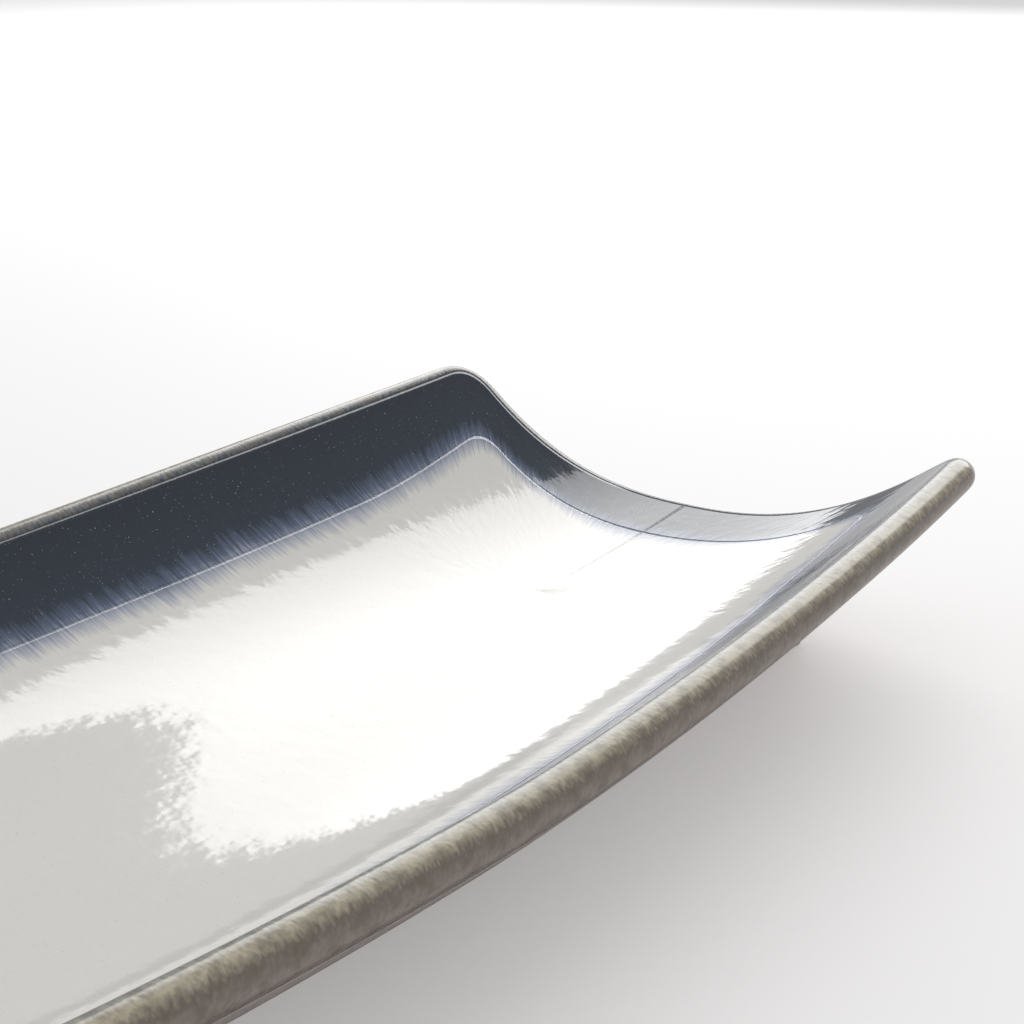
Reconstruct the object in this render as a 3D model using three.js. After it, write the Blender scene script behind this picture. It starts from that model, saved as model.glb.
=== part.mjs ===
// Long rectangular stoneware plate with upswept corners, dipped ends, a glazed
// band round the rim and a luted foot ring. Millimetres, +Z up, X along the length.
import * as THREE from 'three';
import { mergeVertices } from 'three/addons/utils/BufferGeometryUtils.js';

// Plan of the crest line (the middle of the wall's thickness at the rim).
const HALF_LENGTH = 150;      // to the corners
const HALF_WIDTH = 60;        // at the corners
const SIDE_BOW = 7.8;         // long sides bow outward at mid length
const END_HOLLOW = 3.7;       // ends curve inward at mid width
const CORNER_CUT = 6.5;       // length of edge taken by each rounded corner

// Heights of the middle of the slab above the table.
const CORNER_HEIGHT = 33.8;
const SIDE_SAG = 7.05;
const SIDE_SAG_POWER = 1.43;
const FLOOR_HEIGHT = 7.45;
const END_LIFT = 5.55;        // rise of the floor towards the ends
const WALL_POWER_MID = 4.2;   // steepness of the walls at mid length
const WALL_POWER_END = 2.29;  // and at the ends

// Wall build-up.
const CLAY_HALF = 2.65;
const GLAZE = 0.6;
const GLAZE_HALF = CLAY_HALF + GLAZE;

// Insets from the crest line, measured over the surface plan.
const BAND_INNER = 16;
const EDGE_COAT_END = 2;
const UNDER_COAT_END = 27.2;
const FOOT_OUTER = 28;
const FOOT_INNER = 34;
const FOOT_WELL_START = 35;
const FOOT_DRAFT = 0.7;

// The section lines run from the crest to this spine along the middle.
const SPINE_HALF = 95;
const CENTRE_SHARES = [0.35, 0.7, 1];

const TOP_STATIONS = [0, 2.5, 6, 11, BAND_INNER, 22, 28, FOOT_WELL_START];
const UNDER_STATIONS = [0, EDGE_COAT_END, 7, 14, 21, UNDER_COAT_END, FOOT_OUTER, FOOT_INNER, FOOT_WELL_START];
const LIP_STEPS = 6;
const SIDE_STEPS = 18;
const END_STEPS = 10;
const CORNER_STEPS = 4;

const sideY = (x) => HALF_WIDTH + SIDE_BOW * (1 - (x / HALF_LENGTH) ** 2);
const endX = (y) => HALF_LENGTH - END_HOLLOW * (1 - (y / HALF_WIDTH) ** 2);

// Height of the middle of the slab at a plan position.
function slabHeight(x, y) {
  const along = Math.abs(x / HALF_LENGTH);
  const crest = CORNER_HEIGHT - SIDE_SAG * (1 - along ** SIDE_SAG_POWER);
  const floor = FLOOR_HEIGHT + END_LIFT * along ** 3;
  const power = WALL_POWER_MID + (WALL_POWER_END - WALL_POWER_MID) * along ** 2;
  return floor + (crest - floor) * (Math.abs(y) / sideY(x)) ** power;
}

function slabNormal(x, y) {
  const step = 0.01;
  const slopeX = (slabHeight(x + step, y) - slabHeight(x - step, y)) / (2 * step);
  const slopeY = (slabHeight(x, y + step) - slabHeight(x, y - step)) / (2 * step);
  return new THREE.Vector3(-slopeX, -slopeY, 1).normalize();
}

// One quarter of the crest line, from the middle of the +X end to the middle
// of the +Y side.
function quarterOutline() {
  const cornerY = HALF_WIDTH - CORNER_CUT;
  const cornerX = HALF_LENGTH - CORNER_CUT;
  const onEnd = new THREE.Vector2(endX(cornerY), cornerY);
  const onSide = new THREE.Vector2(cornerX, sideY(cornerX));
  const bend = new THREE.QuadraticBezierCurve(onEnd, new THREE.Vector2(HALF_LENGTH, HALF_WIDTH), onSide);
  const points = [];
  for (let i = 0; i < END_STEPS / 2; i++) {
    const y = cornerY * i / (END_STEPS / 2);
    points.push(new THREE.Vector2(endX(y), y));
  }
  for (let i = 0; i < CORNER_STEPS; i++) points.push(bend.getPoint(i / CORNER_STEPS));
  for (let i = 0; i <= SIDE_STEPS / 2; i++) {
    const x = cornerX * (1 - i / (SIDE_STEPS / 2));
    points.push(new THREE.Vector2(x, sideY(x)));
  }
  return points;
}

// The whole crest line, counter-clockwise from the +X end.
function outline() {
  const first = quarterOutline();
  const second = first.slice(0, -1).reverse().map((p) => new THREE.Vector2(-p.x, p.y));
  const upper = [...first, ...second];
  const lower = upper.slice(1, -1).reverse().map((p) => new THREE.Vector2(p.x, -p.y));
  return [...upper, ...lower];
}

// Everything the section builders need to know at one place on the crest line.
function crestFrames() {
  const points = outline();
  return points.map((p, i) => {
    const before = points[(i + points.length - 1) % points.length];
    const after = points[(i + 1) % points.length];
    const spine = new THREE.Vector2(THREE.MathUtils.clamp(p.x, -SPINE_HALF, SPINE_HALF), 0);
    const along = new THREE.Vector3(
      after.x - before.x, after.y - before.y,
      slabHeight(after.x, after.y) - slabHeight(before.x, before.y)).normalize();
    const normal = slabNormal(p.x, p.y);
    const outward = new THREE.Vector3().crossVectors(along, normal).normalize();
    const up = new THREE.Vector3().crossVectors(outward, along).normalize();
    return { p, spine, reach: p.distanceTo(spine), outward, up };
  });
}

// Plan position at an inset from the crest line.
function planAt(frame, inset) {
  return frame.p.clone().lerp(frame.spine, inset / frame.reach);
}

// A point at an inset, offset along the surface normal (positive is upward).
function slabPoint(frame, inset, offset) {
  const plan = planAt(frame, inset);
  const base = new THREE.Vector3(plan.x, plan.y, slabHeight(plan.x, plan.y));
  const normal = inset === 0 ? frame.up : slabNormal(plan.x, plan.y);
  return base.addScaledVector(normal, offset);
}

// Half-round lip about the crest line, from the top round to the underside.
function lipArc(frame, radius) {
  const centre = slabPoint(frame, 0, 0);
  const arc = [];
  for (let i = 0; i <= LIP_STEPS; i++) {
    const angle = Math.PI * (0.5 - i / LIP_STEPS);
    arc.push(centre.clone()
      .addScaledVector(frame.outward, radius * Math.cos(angle))
      .addScaledVector(frame.up, radius * Math.sin(angle)));
  }
  return arc;
}

// Points along the slab from one inset to another, taken at the shared stations.
function run(frame, stations, from, to, offset) {
  const inner = stations.at(-1);
  const all = [...stations, ...CENTRE_SHARES.map((share) => inner + share * (frame.reach - inner))];
  const end = Math.min(to, frame.reach);
  return all.filter((s) => s >= from && s <= end + 1e-9).map((s) => slabPoint(frame, s, offset));
}

const CENTRE = Infinity;

function bodySection(frame) {
  return [
    ...run(frame, TOP_STATIONS, 1, CENTRE, CLAY_HALF).reverse(),
    ...lipArc(frame, CLAY_HALF),
    ...run(frame, UNDER_STATIONS, 1, CENTRE, -CLAY_HALF),
  ];
}

// A coat between two insets, lying between two offsets from the slab's middle.
function coatSection(stations, from, to, low, high) {
  return (frame) => [
    ...run(frame, stations, from, to, high).reverse(),
    ...run(frame, stations, from, to, low),
  ];
}

function edgeSection(frame) {
  return [
    ...lipArc(frame, GLAZE_HALF),
    slabPoint(frame, EDGE_COAT_END, -GLAZE_HALF),
    slabPoint(frame, EDGE_COAT_END, -CLAY_HALF),
    ...lipArc(frame, CLAY_HALF).reverse(),
  ];
}

function footSection(frame) {
  const outer = planAt(frame, FOOT_OUTER + FOOT_DRAFT);
  const inner = planAt(frame, FOOT_INNER - FOOT_DRAFT);
  return [
    slabPoint(frame, FOOT_INNER, -CLAY_HALF),
    slabPoint(frame, FOOT_OUTER, -CLAY_HALF),
    new THREE.Vector3(outer.x, outer.y, 0),
    new THREE.Vector3(inner.x, inner.y, 0),
  ];
}

// Joins one section per crest frame into a closed surface. A section that ends
// on the spine is closed by its neighbour across the middle; others close on
// themselves. Each quad is split from its corner nearer the origin, so that
// neighbouring pieces share the same triangles.
function loft(section, loops) {
  const rows = crestFrames().map(section);
  const width = rows[0].length;
  const positions = rows.flat().flatMap((v) => [v.x, v.y, v.z]);
  const index = [];
  for (let i = 0; i < rows.length; i++) {
    const next = (i + 1) % rows.length;
    for (let j = 0; j < (loops ? width : width - 1); j++) {
      const k = (j + 1) % width;
      const a = i * width + j, b = i * width + k, c = next * width + k, d = next * width + j;
      const nearFirst = rows[i][j].lengthSq() < rows[i][k].lengthSq();
      index.push(...(nearFirst ? [a, b, c, a, c, d] : [a, b, d, b, c, d]));
    }
  }
  const geometry = new THREE.BufferGeometry();
  geometry.setAttribute('position', new THREE.Float32BufferAttribute(positions, 3));
  geometry.setIndex(index);
  return withoutSlivers(mergeVertices(geometry, 1e-4));
}

// Drops the triangles that collapsed where section lines meet on the spine.
function withoutSlivers(geometry) {
  const source = geometry.index.array;
  const kept = [];
  for (let i = 0; i < source.length; i += 3) {
    const [a, b, c] = [source[i], source[i + 1], source[i + 2]];
    if (a !== b && b !== c && c !== a) kept.push(a, b, c);
  }
  geometry.setIndex(kept);
  geometry.computeVertexNormals();
  return geometry;
}

function piece(name, section, loops, color, roughness) {
  const material = new THREE.MeshStandardMaterial({ color, roughness, metalness: 0 });
  material.name = name;
  const mesh = new THREE.Mesh(loft(section, loops), material);
  mesh.name = name;
  return mesh;
}

const plate = new THREE.Group();
plate.name = 'rectangular_plate';
plate.add(
  piece('stoneware_body', bodySection, false, 0xa08c78, 0.8),
  piece('foot_ring', footSection, true, 0x9c846c, 0.85),
  piece('white_well_glaze',
    coatSection(TOP_STATIONS, BAND_INNER, CENTRE, CLAY_HALF, GLAZE_HALF), false, 0xf2eee6, 0.12),
  piece('indigo_band_glaze',
    coatSection(TOP_STATIONS, 0, BAND_INNER, CLAY_HALF, GLAZE_HALF), true, 0x2f3944, 0.15),
  piece('rim_edge_glaze', edgeSection, true, 0x857d70, 0.3),
  piece('underside_glaze',
    coatSection(UNDER_STATIONS, EDGE_COAT_END, UNDER_COAT_END, -GLAZE_HALF, -CLAY_HALF),
    true, 0xbfb2a6, 0.3),
  piece('foot_well_glaze',
    coatSection(UNDER_STATIONS, FOOT_WELL_START, CENTRE, -GLAZE_HALF, -CLAY_HALF),
    false, 0xbfb2a6, 0.3),
);

export default plate;
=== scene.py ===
import math

import bpy
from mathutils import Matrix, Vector


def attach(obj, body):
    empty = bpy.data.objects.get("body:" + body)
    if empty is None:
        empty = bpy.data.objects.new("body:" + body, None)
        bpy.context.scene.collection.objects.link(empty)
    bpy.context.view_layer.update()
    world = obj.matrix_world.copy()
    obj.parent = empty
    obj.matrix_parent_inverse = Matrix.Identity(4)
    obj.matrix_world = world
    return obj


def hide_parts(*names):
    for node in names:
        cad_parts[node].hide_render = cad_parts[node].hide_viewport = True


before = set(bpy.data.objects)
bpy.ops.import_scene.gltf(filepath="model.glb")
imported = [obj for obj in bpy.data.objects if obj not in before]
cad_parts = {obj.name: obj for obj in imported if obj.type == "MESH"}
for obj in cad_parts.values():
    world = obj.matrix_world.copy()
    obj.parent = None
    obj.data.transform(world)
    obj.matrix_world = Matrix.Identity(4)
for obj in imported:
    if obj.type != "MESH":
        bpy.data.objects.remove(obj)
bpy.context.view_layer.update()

# The plate's shape in millimetres, as in the CAD source.
HALF_LENGTH, HALF_WIDTH = 150.0, 60.0
SIDE_BOW, END_HOLLOW, CORNER_CUT = 7.8, 3.7, 6.5
CORNER_HEIGHT, SIDE_SAG, SIDE_SAG_POWER = 33.8, 7.05, 1.43
FLOOR_HEIGHT, END_LIFT = 7.45, 5.55
WALL_POWER_MID, WALL_POWER_END = 4.2, 2.29
CLAY_HALF, GLAZE_HALF = 2.65, 3.25
BAND_INNER, EDGE_COAT_END, UNDER_COAT_END = 16.0, 2.0, 27.2
FOOT_OUTER, FOOT_INNER, FOOT_WELL_START, FOOT_DRAFT = 28.0, 34.0, 35.0, 0.7
SPINE_HALF = 95.0

# How finely the looks are meshed: steps round the crest line and the lip, and
# the spacing of points along the slab in millimetres.
SIDE_STEPS, END_STEPS, CORNER_STEPS, LIP_STEPS = 240, 110, 14, 16
COAT_STEP, BODY_STEP = 0.6, 3.0
NOMINAL_REACH = 60.0
BODY_START = 0.5
FOOT_GRAIN_INSET = 30.0
MM = 0.001

# Linear colours.
BAND_DARK, BAND_EDGE = (0.03, 0.04, 0.06), (0.035, 0.05, 0.075)
FRINGE_DEEP, FRINGE_PALE = (0.13, 0.17, 0.26), (0.5, 0.53, 0.62)
WELL_WHITE = (0.93, 0.915, 0.87)
SPECK = (0.6, 0.55, 0.58)
LIP_BLUE, LIP_GREY, LIP_CREAM = (0.06, 0.08, 0.11), (0.3, 0.3, 0.28), (0.62, 0.56, 0.42)
LIP_BROWN, LIP_BEIGE, LIP_BLOTCH = (0.24, 0.2, 0.17), (0.5, 0.43, 0.38), (0.2, 0.17, 0.13)
UNDER_DARK, UNDER_PALE = (0.48, 0.42, 0.39), (0.62, 0.55, 0.52)
CLAY_DARK, CLAY_PALE = (0.22, 0.15, 0.1), (0.4, 0.3, 0.21)
TABLE_GREY, TABLE_LIFT = (0.8, 0.79, 0.79), (1, 0.995, 0.995)
ROOM_GREY = (0.93, 0.93, 0.93)
BLACK = (0, 0, 0)

# Camera and lamp, in metres and degrees.
CAMERA_AT = (-0.1959, -0.2053, 0.14595)
CAMERA_YAW, CAMERA_DOWN = 36.10, 18.34
CAMERA_LENS, SENSOR_WIDTH, CLIP_START = 70.56, 36.0, 0.01
KEY_AT, KEY_SIZE, KEY_POWER = (1.35, 0.45, 0.75), (1.5, 1.0), 15
ROOM_STRENGTH = 0.5
TABLE_HALF = 6.0
TABLE_LIFT_STRENGTH = 0.3


def side_y(x):
    """Half the plan width of the crest line at x."""
    return HALF_WIDTH + SIDE_BOW * (1 - (x / HALF_LENGTH) ** 2)


def end_x(y):
    """Half the plan length of the crest line at y."""
    return HALF_LENGTH - END_HOLLOW * (1 - (y / HALF_WIDTH) ** 2)


def slab_height(x, y):
    """Height of the middle of the slab at a plan position."""
    along = abs(x / HALF_LENGTH)
    crest = CORNER_HEIGHT - SIDE_SAG * (1 - along ** SIDE_SAG_POWER)
    base = FLOOR_HEIGHT + END_LIFT * along ** 3
    power = WALL_POWER_MID + (WALL_POWER_END - WALL_POWER_MID) * along ** 2
    return base + (crest - base) * (abs(y) / side_y(x)) ** power


def slab_normal(x, y):
    step = 0.01
    slope_x = (slab_height(x + step, y) - slab_height(x - step, y)) / (2 * step)
    slope_y = (slab_height(x, y + step) - slab_height(x, y - step)) / (2 * step)
    return Vector((-slope_x, -slope_y, 1)).normalized()


def quarter_outline():
    """Crest line from the middle of the +X end to the middle of the +Y side."""
    corner_x, corner_y = HALF_LENGTH - CORNER_CUT, HALF_WIDTH - CORNER_CUT
    start, end = (end_x(corner_y), corner_y), (corner_x, side_y(corner_x))
    bend = (HALF_LENGTH, HALF_WIDTH)
    half_end, half_side = END_STEPS // 2, SIDE_STEPS // 2
    points = [(end_x(corner_y * i / half_end), corner_y * i / half_end) for i in range(half_end)]
    for i in range(CORNER_STEPS):
        t = i / CORNER_STEPS
        points.append(tuple((1 - t) ** 2 * a + 2 * t * (1 - t) * b + t * t * c
                            for a, b, c in zip(start, bend, end)))
    for i in range(half_side + 1):
        x = corner_x * (1 - i / half_side)
        points.append((x, side_y(x)))
    return points


def crest_frames():
    """What the section builders need at each place round the crest line."""
    first = quarter_outline()
    upper = first + [(-x, y) for x, y in reversed(first[:-1])]
    points = upper + [(x, -y) for x, y in reversed(upper[1:-1])]
    frames, length = [], 0.0
    for i, (x, y) in enumerate(points):
        before, after = points[i - 1], points[(i + 1) % len(points)]
        along = Vector((after[0] - before[0], after[1] - before[1],
                        slab_height(*after) - slab_height(*before))).normalized()
        outward = along.cross(slab_normal(x, y)).normalized()
        spine = (max(-SPINE_HALF, min(SPINE_HALF, x)), 0.0)
        if i:
            length += math.dist(before, (x, y))
        frames.append({"p": (x, y), "spine": spine, "reach": math.dist((x, y), spine),
                       "outward": outward, "up": outward.cross(along), "along": length})
    return frames


FRAMES = crest_frames()


def plan_at(crest, inset):
    """Plan position at an inset from the crest line towards the spine."""
    share = inset / crest["reach"]
    return tuple(a + (b - a) * share for a, b in zip(crest["p"], crest["spine"]))


def slab_point(crest, inset, offset):
    """A point at an inset, offset along the surface normal (up is positive)."""
    x, y = plan_at(crest, inset)
    normal = crest["up"] if inset == 0 else slab_normal(x, y)
    return Vector((x, y, slab_height(x, y))) + normal * offset


def lip_arc(crest, radius):
    """(point, inset) pairs round the lip; insets grow negative round the edge."""
    centre, arc = slab_point(crest, 0, 0), []
    for i in range(LIP_STEPS + 1):
        angle = math.pi * (0.5 - i / LIP_STEPS)
        spoke = crest["outward"] * radius * math.cos(angle) + crest["up"] * radius * math.sin(angle)
        arc.append((centre + spoke, -radius * math.pi * i / LIP_STEPS))
    return arc


def run(crest, start, end, offset, step=COAT_STEP):
    """(point, inset) pairs along the slab, out to the spine where end is None."""
    stop = crest["reach"] if end is None else end
    nominal = NOMINAL_REACH if end is None else end
    count = max(1, round((nominal - start) / step))
    insets = [start + (stop - start) * i / count for i in range(count + 1)]
    return [(slab_point(crest, s, offset), s) for s in insets]


def body_section(crest):
    return (run(crest, BODY_START, None, CLAY_HALF, BODY_STEP)[::-1] + lip_arc(crest, CLAY_HALF)
            + run(crest, BODY_START, None, -CLAY_HALF, BODY_STEP))


def coat_section(start, end, low, high):
    """Section of a coat between two insets and two offsets from the slab's middle."""
    return lambda crest: run(crest, start, end, high)[::-1] + run(crest, start, end, low)


def edge_section(crest):
    outer = lip_arc(crest, GLAZE_HALF)
    last = outer[-1][1] - EDGE_COAT_END
    return (outer
            + [(slab_point(crest, EDGE_COAT_END, -half), last) for half in (GLAZE_HALF, CLAY_HALF)]
            + lip_arc(crest, CLAY_HALF)[::-1])


def foot_section(crest):
    luted = [slab_point(crest, inset, -CLAY_HALF) for inset in (FOOT_INNER, FOOT_OUTER)]
    standing = [Vector((*plan_at(crest, inset), 0.0))
                for inset in (FOOT_OUTER + FOOT_DRAFT, FOOT_INNER - FOOT_DRAFT)]
    return [(point, FOOT_GRAIN_INSET) for point in luted + standing]


def loft(name, section, loops, material):
    """Joins one section per crest frame, with inset and length along as attributes."""
    rows = [section(crest) for crest in FRAMES]
    width, count = len(rows[0]), len(rows)
    vertices = [point * MM for row in rows for point, _ in row]
    faces = []
    for i in range(count):
        for j in range(width if loops else width - 1):
            k, n = (j + 1) % width, (i + 1) % count
            faces.append((i * width + j, i * width + k, n * width + k, n * width + j))
    mesh = bpy.data.meshes.new(name)
    mesh.from_pydata(vertices, [], faces)
    for label, values in (("inset", [s for row in rows for _, s in row]),
                          ("along", [c["along"] for c, row in zip(FRAMES, rows) for _ in row])):
        mesh.attributes.new(label, "FLOAT", "POINT").data.foreach_set("value", values)
    mesh.shade_smooth()
    mesh.materials.append(material)
    piece = bpy.data.objects.new(name, mesh)
    bpy.context.scene.collection.objects.link(piece)
    return piece


class Shader:
    """A short way to write a node material."""

    def __init__(self, name):
        self.material = bpy.data.materials.new(name)
        self.material.use_nodes = True
        self.tree = self.material.node_tree
        self.bsdf = self.tree.nodes["Principled BSDF"]

    def node(self, kind, **values):
        made = self.tree.nodes.new(kind)
        for key, value in values.items():
            setattr(made, key, value)
        return made

    def link(self, source, target):
        self.tree.links.new(source, target)

    def attribute(self, name):
        return self.node("ShaderNodeAttribute", attribute_name=name).outputs["Fac"]

    def math(self, operation, a, b=0.0):
        made = self.node("ShaderNodeMath", operation=operation)
        for socket, value in zip(made.inputs, (a, b)):
            if isinstance(value, (int, float)):
                socket.default_value = value
            else:
                self.link(value, socket)
        return made.outputs[0]

    def noise(self, x_scale, y_scale, detail=3.0):
        """Noise over (along, inset), each scaled in cycles per millimetre."""
        joined = self.node("ShaderNodeCombineXYZ")
        self.link(self.math("MULTIPLY", self.attribute("along"), x_scale), joined.inputs[0])
        self.link(self.math("MULTIPLY", self.attribute("inset"), y_scale), joined.inputs[1])
        made = self.node("ShaderNodeTexNoise")
        made.inputs["Scale"].default_value = 1.0
        made.inputs["Detail"].default_value = detail
        self.link(joined.outputs[0], made.inputs["Vector"])
        return made.outputs["Fac"]

    def ramp(self, factor, stops):
        made = self.node("ShaderNodeValToRGB")
        elements = made.color_ramp.elements
        while len(elements) < len(stops):
            elements.new(0.5)
        for element, (position, colour) in zip(elements, stops):
            element.position = position
            element.color = (*colour, 1)
        self.link(factor, made.inputs[0])
        return made.outputs[0]

    def mix(self, factor, a, b):
        made = self.node("ShaderNodeMix", data_type="RGBA")
        for socket, value in ((made.inputs[0], factor), (made.inputs[6], a), (made.inputs[7], b)):
            if isinstance(value, tuple):
                socket.default_value = (*value, 1)
            else:
                self.link(value, socket)
        return made.outputs[2]

    def spread(self, factor, amount):
        """A noise factor turned into a value either side of zero."""
        return self.math("MULTIPLY", self.math("SUBTRACT", factor, 0.5), amount)

    def finish(self, colour, roughness, bump=None, depth=0.0001):
        """Sets the surface; bump depth is in metres."""
        if isinstance(colour, tuple):
            self.bsdf.inputs["Base Color"].default_value = (*colour, 1)
        else:
            self.link(colour, self.bsdf.inputs["Base Color"])
        self.bsdf.inputs["Roughness"].default_value = roughness
        if bump is not None:
            made = self.node("ShaderNodeBump")
            made.inputs["Strength"].default_value = 0.25
            made.inputs["Distance"].default_value = depth
            self.link(bump, made.inputs["Height"])
            self.link(made.outputs[0], self.bsdf.inputs["Normal"])
        return self.material


def top_glaze(name):
    """White well fading feathery into the dark band near the rim."""
    streak_reach, wander, fade_width = 7.0, 5.0, 24.0
    s = Shader(name)
    depth = s.math("ADD", s.attribute("inset"), s.spread(s.noise(1.6, 0.12, 4), streak_reach))
    depth = s.math("ADD", depth, s.spread(s.noise(0.04, 0.01, 2), wander))
    fade = s.ramp(s.math("DIVIDE", depth, fade_width),
                  [(0.0, BAND_DARK), (0.48, BAND_EDGE), (0.62, FRINGE_DEEP), (0.72, FRINGE_PALE),
                   (0.85, WELL_WHITE)])
    specks = s.ramp(s.noise(2.6, 2.6, 1), [(0.0, BLACK), (0.71, BLACK), (0.76, (0.8, 0.8, 0.8))])
    return s.finish(s.mix(specks, fade, SPECK), 0.09, s.noise(0.25, 0.2, 2), 0.0003)


def edge_glaze(name):
    """Mottled coat round the lip, darker below the crest and pale at its end."""
    coat_width, ragged = 14.0, 0.3
    s = Shader(name)
    grain = s.noise(1.4, 0.7, 4)
    depth = s.math("ADD", s.math("MULTIPLY", s.attribute("inset"), -1 / coat_width),
                   s.spread(grain, ragged))
    fade = s.ramp(depth, [(0.0, LIP_BLUE), (0.14, LIP_GREY), (0.3, LIP_CREAM), (0.45, LIP_BROWN),
                          (0.8, LIP_BEIGE)])
    blotches = s.ramp(s.noise(0.35, 0.35, 3), [(0.45, BLACK), (0.65, (0.6, 0.6, 0.6))])
    return s.finish(s.mix(blotches, fade, LIP_BLOTCH), 0.2, grain, 0.0002)


def under_glaze(name):
    """Smooth grey-beige coat of the outer walls and inside the foot."""
    s = Shader(name)
    mottle = s.noise(0.5, 0.3, 4)
    return s.finish(s.ramp(mottle, [(0.3, UNDER_DARK), (0.7, UNDER_PALE)]), 0.25, mottle)


def bare_clay(name):
    """Dry, grainy fired clay."""
    s = Shader(name)
    grain = s.noise(2.0, 2.0, 5)
    return s.finish(s.ramp(grain, [(0.3, CLAY_DARK), (0.7, CLAY_PALE)]), 0.85, grain, 0.0004)


# Node, section, whether the section closes on itself, and material.
clay = bare_clay("bare_clay")
PIECES = (
    ("stoneware_body", body_section, False, clay),
    ("foot_ring", foot_section, True, clay),
    ("white_well_glaze", coat_section(BAND_INNER, None, CLAY_HALF, GLAZE_HALF), False,
     top_glaze("well_glaze")),
    ("indigo_band_glaze", coat_section(0, BAND_INNER, CLAY_HALF, GLAZE_HALF), True,
     top_glaze("band_glaze")),
    ("rim_edge_glaze", edge_section, True, edge_glaze("lip_glaze")),
    ("underside_glaze", coat_section(EDGE_COAT_END, UNDER_COAT_END, -GLAZE_HALF, -CLAY_HALF), True,
     under_glaze("outer_glaze")),
    ("foot_well_glaze", coat_section(FOOT_WELL_START, None, -GLAZE_HALF, -CLAY_HALF), False,
     under_glaze("inner_foot_glaze")),
)
for node, section, loops, material in PIECES:
    piece = loft(node + "_look", section, loops, material)
    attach(piece, "root")
    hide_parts(node)


def floor():
    """Pale table: plain diffuse, lifted towards the backdrop's white for the camera."""
    s = Shader("table")
    s.finish(TABLE_GREY, 0.6)
    s.bsdf.inputs["Specular IOR Level"].default_value = 0.1
    s.bsdf.inputs["Emission Color"].default_value = (*TABLE_LIFT, 1)
    path = s.node("ShaderNodeLightPath")
    s.link(s.math("MULTIPLY", path.outputs["Is Camera Ray"], TABLE_LIFT_STRENGTH),
           s.bsdf.inputs["Emission Strength"])
    mesh = bpy.data.meshes.new("table")
    corners = [(x * TABLE_HALF, y * TABLE_HALF, 0) for x, y in ((-1, -1), (1, -1), (1, 1), (-1, 1))]
    mesh.from_pydata(corners, [], [(0, 1, 2, 3)])
    mesh.materials.append(s.material)
    table = bpy.data.objects.new("table", mesh)
    bpy.context.scene.collection.objects.link(table)


def lamp(name, position, size, power):
    """A rectangular lamp aimed at the plate."""
    data = bpy.data.lights.new(name, "AREA")
    data.shape, data.size, data.size_y, data.energy = "RECTANGLE", size[0], size[1], power
    made = bpy.data.objects.new(name, data)
    made.location = position
    made.rotation_euler = (-Vector(position)).to_track_quat("-Z", "Y").to_euler()
    bpy.context.scene.collection.objects.link(made)


def camera():
    data = bpy.data.cameras.new("camera")
    data.lens, data.sensor_width, data.clip_start = CAMERA_LENS, SENSOR_WIDTH, CLIP_START
    made = bpy.data.objects.new("camera", data)
    made.location = CAMERA_AT
    yaw, pitch = math.radians(CAMERA_YAW), math.radians(CAMERA_DOWN)
    forward = Vector((math.cos(pitch) * math.cos(yaw), math.cos(pitch) * math.sin(yaw),
                      -math.sin(pitch)))
    made.rotation_euler = forward.to_track_quat("-Z", "Y").to_euler()
    bpy.context.scene.collection.objects.link(made)
    bpy.context.scene.camera = made


def room():
    """An even pale room all round."""
    world = bpy.data.worlds.new("room")
    world.use_nodes = True
    background = world.node_tree.nodes["Background"]
    background.inputs["Color"].default_value = (*ROOM_GREY, 1)
    background.inputs["Strength"].default_value = ROOM_STRENGTH
    bpy.context.scene.world = world


floor()
lamp("key", KEY_AT, KEY_SIZE, KEY_POWER)
room()
bpy.context.scene.view_settings.view_transform = "Standard"
camera()
